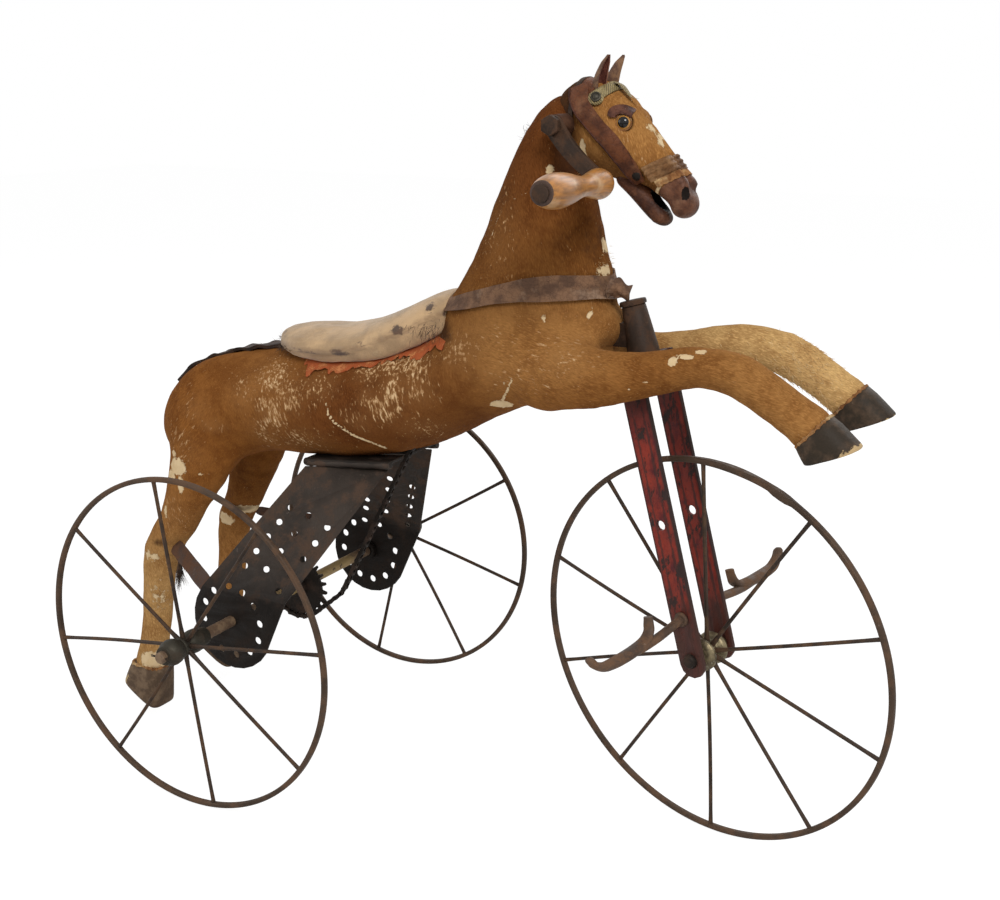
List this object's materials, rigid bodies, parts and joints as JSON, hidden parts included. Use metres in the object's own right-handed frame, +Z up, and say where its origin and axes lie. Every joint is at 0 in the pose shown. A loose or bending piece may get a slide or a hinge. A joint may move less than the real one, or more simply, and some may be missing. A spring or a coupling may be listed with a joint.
{
  "type": "hand-cranked horse tricycle",
  "caption": "Toy horse on spoked wheels, driven by a hand crank through the neck and an inner chain to the rear axle, steered by foot rests on the front fork.",
  "frame": {"origin": "middle of the object's box on the floor plane", "axes": "+X the way the horse faces, +Y to the horse's left, +Z up"},
  "size_m": [1.0952, 0.596, 0.9302],
  "materials": {
    "hide": "short golden-brown hair hide, worn pale in streaks, glued over a wooden body",
    "hoof": "dark worn paint on wood, chipped at the toes",
    "leather": "dry dark brown leather",
    "braid": "faded olive-gold woven braid",
    "suede": "mottled tan suede with dark stains",
    "red_cloth": "frayed orange-red cloth",
    "glass": "amber and black glass eye",
    "horsehair": "black horsehair",
    "wood": "varnished turned wood, glossy",
    "red_paint": "deep red paint worn to black iron",
    "brass": "dull olive brass",
    "iron": "dark brown rusted iron"
  },
  "bodies": {
    "horse": {"belly_plate": "iron", "breast_collar": "leather", "browband": "braid", "chain_guide_bar": "iron", "croup_strip": "leather", "drive_chain": "iron", "head": "hide", "head_tube": "iron", "left_axle_bush": "iron", "left_cheek_strap": "leather", "left_crank_bush": "iron", "left_ear": "hide", "left_eye": "glass", "left_fore_hoof": "hoof", "left_fore_leg": "hide", "left_hind_hoof": "hoof", "left_hind_leg": "hide", "left_hock_stay": "iron", "left_side_plate": "iron", "lower_jaw": "leather", "neck": "hide", "noseband": "leather", "right_axle_bush": "iron", "right_cheek_strap": "leather", "right_crank_bush": "iron", "right_ear": "hide", "right_eye": "glass", "right_fore_hoof": "hoof", "right_fore_leg": "hide", "right_hind_hoof": "hoof", "right_hind_leg": "hide", "right_hock_stay": "iron", "right_side_plate": "iron", "saddle": "suede", "saddle_cloth": "red_cloth", "tail": "horsehair", "torso": "hide"},
    "rear_axle": {"rear_axle": "iron", "split_pin": "iron", "rear_sprocket": "iron", "left_rear_hub": "iron", "left_rear_rim": "iron"},
    "right_rear_wheel": {"right_rear_hub": "iron", "right_rear_rim": "iron"},
    "crank": {"crank_axle": "iron", "crank_sprocket": "iron", "right_crank_arm": "iron", "left_crank_arm": "iron"},
    "right_grip": {"right_grip": "wood"},
    "left_grip": {"left_grip": "wood"},
    "fork": {"fork_stem": "iron", "fork_top_nut": "iron", "right_fork_blade": "red_paint", "left_fork_blade": "red_paint", "right_foot_rest": "iron", "left_foot_rest": "iron", "front_axle": "iron"},
    "front_wheel": {"front_hub": "brass", "front_rim": "iron"}
  },
  "joints": [
    {"name": "crank_spin", "type": "hinge", "parent": "horse", "child": "crank", "pos_m": [0.12805, 0, 0.85637], "axis": [0, 1, 0], "continuous": true, "deforming": ["drive_chain"]},
    {"name": "rear_axle_spin", "type": "hinge", "parent": "horse", "child": "rear_axle", "pos_m": [-0.28795, 0, 0.219], "axis": [0, 1, 0], "continuous": true, "deforming": ["drive_chain"]},
    {"name": "right_rear_wheel_spin", "type": "hinge", "parent": "rear_axle", "child": "right_rear_wheel", "pos_m": [-0.28795, -0.252, 0.219], "axis": [0, 1, 0], "continuous": true},
    {"name": "right_grip_spin", "type": "hinge", "parent": "crank", "child": "right_grip", "pos_m": [0.19241, -0.142, 0.79636], "axis": [0, 1, 0], "continuous": true},
    {"name": "left_grip_spin", "type": "hinge", "parent": "crank", "child": "left_grip", "pos_m": [0.06804, 0.142, 0.79201], "axis": [0, 1, 0], "continuous": true},
    {"name": "fork_steer", "type": "hinge", "parent": "horse", "child": "fork", "pos_m": [0.21705, 0, 0.59627], "axis": [-0.2538, 0, 0.9673], "range_deg": [-16.8, 43.2]},
    {"name": "front_wheel_spin", "type": "hinge", "parent": "fork", "child": "front_wheel", "pos_m": [0.3098, 0, 0.24274], "axis": [0.2209, 0.9736, 0.0579], "continuous": true}
  ],
  "couplings": [
    {"joint": "rear_axle_spin", "follows": "crank_spin", "ratio": 0.5}
  ]
}
